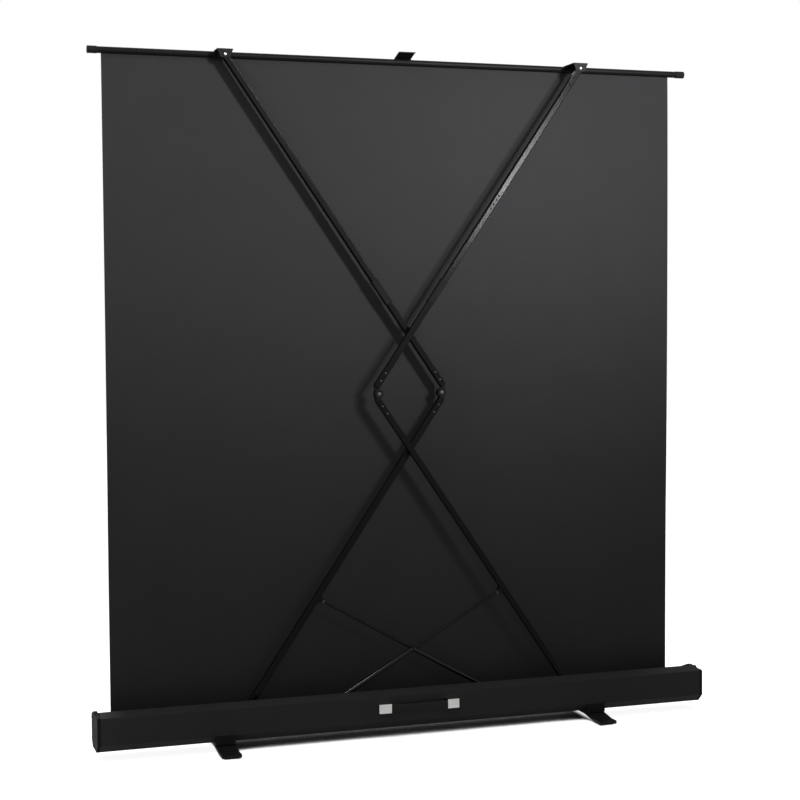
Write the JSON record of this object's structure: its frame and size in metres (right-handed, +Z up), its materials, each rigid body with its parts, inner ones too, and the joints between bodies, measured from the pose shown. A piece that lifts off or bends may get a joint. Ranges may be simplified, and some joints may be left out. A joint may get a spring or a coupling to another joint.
{
  "type": "portable projection screen",
  "caption": "Floor-standing pull-up projection screen: grey-backed cloth raised from a long black casing by a crossed-arm lift with gas struts.",
  "frame": {"origin": "on the floor under the middle of the casing", "axes": "+Z up, +X along the casing, +Y to the rear: the side with the arms and the handle. The picture side faces -Y."},
  "size_m": [1.9632, 0.314, 2.0949],
  "materials": {
    "alu_plain": "mill-finish aluminium",
    "arm_black": "satin black powder coat",
    "bar_black": "satin black powder coat",
    "black_steel": "blackened steel pressing",
    "casing_black": "satin black powder coat on aluminium",
    "foot_steel": "black painted steel",
    "handle_nickel": "bright nickel plate",
    "handle_rubber": "satin black rubber over a steel band",
    "moulded_black": "fine-grained black moulding",
    "pad_rubber": "matt black rubber",
    "polished_rod": "polished chromed rod",
    "screen_cloth": "dark grey backed projection cloth, white on its picture side",
    "strut_black": "gloss black gas-strut tube",
    "zinc_steel": "bright zinc-plated steel"
  },
  "bodies": {
    "base": {"casing_shell": "casing_black", "end_cap_left": "moulded_black", "end_cap_right": "moulded_black", "casing_screws": "zinc_steel", "arm_base_brackets": "black_steel", "strut_base_brackets": "black_steel", "foot_saddle_left": "moulded_black", "foot_saddle_right": "moulded_black", "foot_bolts": "zinc_steel", "handle_strap": "handle_rubber", "handle_caps": "handle_nickel", "roller_shafts": "zinc_steel", "winding_spring": "zinc_steel", "screen_fabric": "screen_cloth"},
    "foot_left": {"foot_bar_left": "foot_steel", "foot_pads_left": "pad_rubber"},
    "foot_right": {"foot_bar_right": "foot_steel", "foot_pads_right": "pad_rubber"},
    "roller": {"roller_tube": "alu_plain", "fabric_wraps": "screen_cloth", "roller_bushes": "moulded_black"},
    "bar": {"top_bar": "bar_black", "bar_caps": "moulded_black", "bar_bracket_rear": "black_steel", "bar_bracket_front": "black_steel", "bar_pins": "zinc_steel", "pull_tab": "black_steel", "bar_screws": "zinc_steel", "welt_rod": "moulded_black"},
    "rear_lower": {"rear_lower_tube": "arm_black", "rear_lower_base_plug": "black_steel", "rear_knee_fork": "black_steel", "rear_knee_pin": "zinc_steel", "rear_strut_clevis": "black_steel", "rear_lower_rivets": "zinc_steel"},
    "rear_upper": {"rear_upper_tube_low": "arm_black", "rear_upper_tube_high": "arm_black", "rear_splice_bar": "black_steel", "rear_knee_tongue": "black_steel", "rear_upper_top_plug": "black_steel", "rear_buffer_sleeve": "moulded_black", "rear_upper_fixings": "zinc_steel"},
    "rear_strut_tube": {"rear_strut_cylinder": "strut_black"},
    "rear_strut_piston": {"rear_strut_rod": "polished_rod"},
    "front_lower": {"front_lower_tube": "arm_black", "front_lower_base_plug": "black_steel", "front_knee_fork": "black_steel", "front_knee_pin": "zinc_steel", "front_strut_clevis": "black_steel", "front_lower_rivets": "zinc_steel"},
    "front_upper": {"front_upper_tube_low": "arm_black", "front_upper_tube_high": "arm_black", "front_splice_bar": "black_steel", "front_knee_tongue": "black_steel", "front_upper_top_plug": "black_steel", "front_buffer_sleeve": "moulded_black", "front_upper_fixings": "zinc_steel"},
    "front_strut_tube": {"front_strut_cylinder": "strut_black"},
    "front_strut_piston": {"front_strut_rod": "polished_rod"}
  },
  "joints": [
    {"name": "lift", "type": "hinge", "parent": "base", "child": "rear_lower", "pos_m": [-0.566, 0.022, 0.04], "axis": [0, 1, 0], "range_deg": [0, 54.34], "deforming": ["screen_fabric"]},
    {"name": "front_lower_hinge", "type": "hinge", "parent": "base", "child": "front_lower", "pos_m": [0.566, -0.0045, 0.04], "axis": [0, 1, 0], "range_deg": [-54.34, 0]},
    {"name": "rear_knee", "type": "hinge", "parent": "rear_lower", "child": "rear_upper", "pos_m": [0.106, 0.022, 1.0523], "axis": [0, 1, 0], "range_deg": [-108.69, 0]},
    {"name": "front_knee", "type": "hinge", "parent": "front_lower", "child": "front_upper", "pos_m": [-0.106, -0.0045, 1.0523], "axis": [0, 1, 0], "range_deg": [0, 108.69]},
    {"name": "bar_hinge", "type": "hinge", "parent": "rear_upper", "child": "bar", "pos_m": [-0.566, 0.022, 2.0646], "axis": [0, 1, 0], "range_deg": [0, 54.34]},
    {"name": "rear_strut_hinge", "type": "hinge", "parent": "rear_lower", "child": "rear_strut_piston", "pos_m": [-0.28663, 0.022, 0.42468], "axis": [0, 1, 0], "range_deg": [-84.13, 0]},
    {"name": "front_strut_hinge", "type": "hinge", "parent": "front_lower", "child": "front_strut_piston", "pos_m": [0.28663, -0.0045, 0.42468], "axis": [0, 1, 0], "range_deg": [0, 84.13]},
    {"name": "rear_strut_slide", "type": "slide", "parent": "rear_strut_piston", "child": "rear_strut_tube", "axis": [-0.8678, 0, 0.4969], "range_m": [0, 0.29914]},
    {"name": "front_strut_slide", "type": "slide", "parent": "front_strut_piston", "child": "front_strut_tube", "axis": [0.8678, 0, 0.4969], "range_m": [0, 0.29914]},
    {"name": "roller_spin", "type": "hinge", "parent": "base", "child": "roller", "pos_m": [0, -0.0405, 0.078], "axis": [1, 0, 0], "range_deg": [0, 6394.48]},
    {"name": "foot_left_swing", "type": "hinge", "parent": "base", "child": "foot_left", "pos_m": [0.602, 0, 0.004], "axis": [0, 0, 1], "range_deg": [-90, 0]},
    {"name": "foot_right_swing", "type": "hinge", "parent": "base", "child": "foot_right", "pos_m": [-0.602, 0, 0.004], "axis": [0, 0, 1], "range_deg": [0, 90]}
  ],
  "couplings": [
    {"joint": "front_lower_hinge", "follows": "lift", "ratio": -1},
    {"joint": "rear_knee", "follows": "lift", "ratio": -2},
    {"joint": "front_knee", "follows": "lift", "ratio": 2},
    {"joint": "bar_hinge", "follows": "lift", "ratio": 1},
    {"joint": "rear_strut_hinge", "follows": "lift", "ratio": -1.5482},
    {"joint": "front_strut_hinge", "follows": "lift", "ratio": 1.5482},
    {"joint": "rear_strut_slide", "follows": "lift", "m_per_rad": 0.31539},
    {"joint": "front_strut_slide", "follows": "lift", "m_per_rad": 0.31539},
    {"joint": "roller_spin", "follows": "lift", "ratio": 117.67}
  ]
}
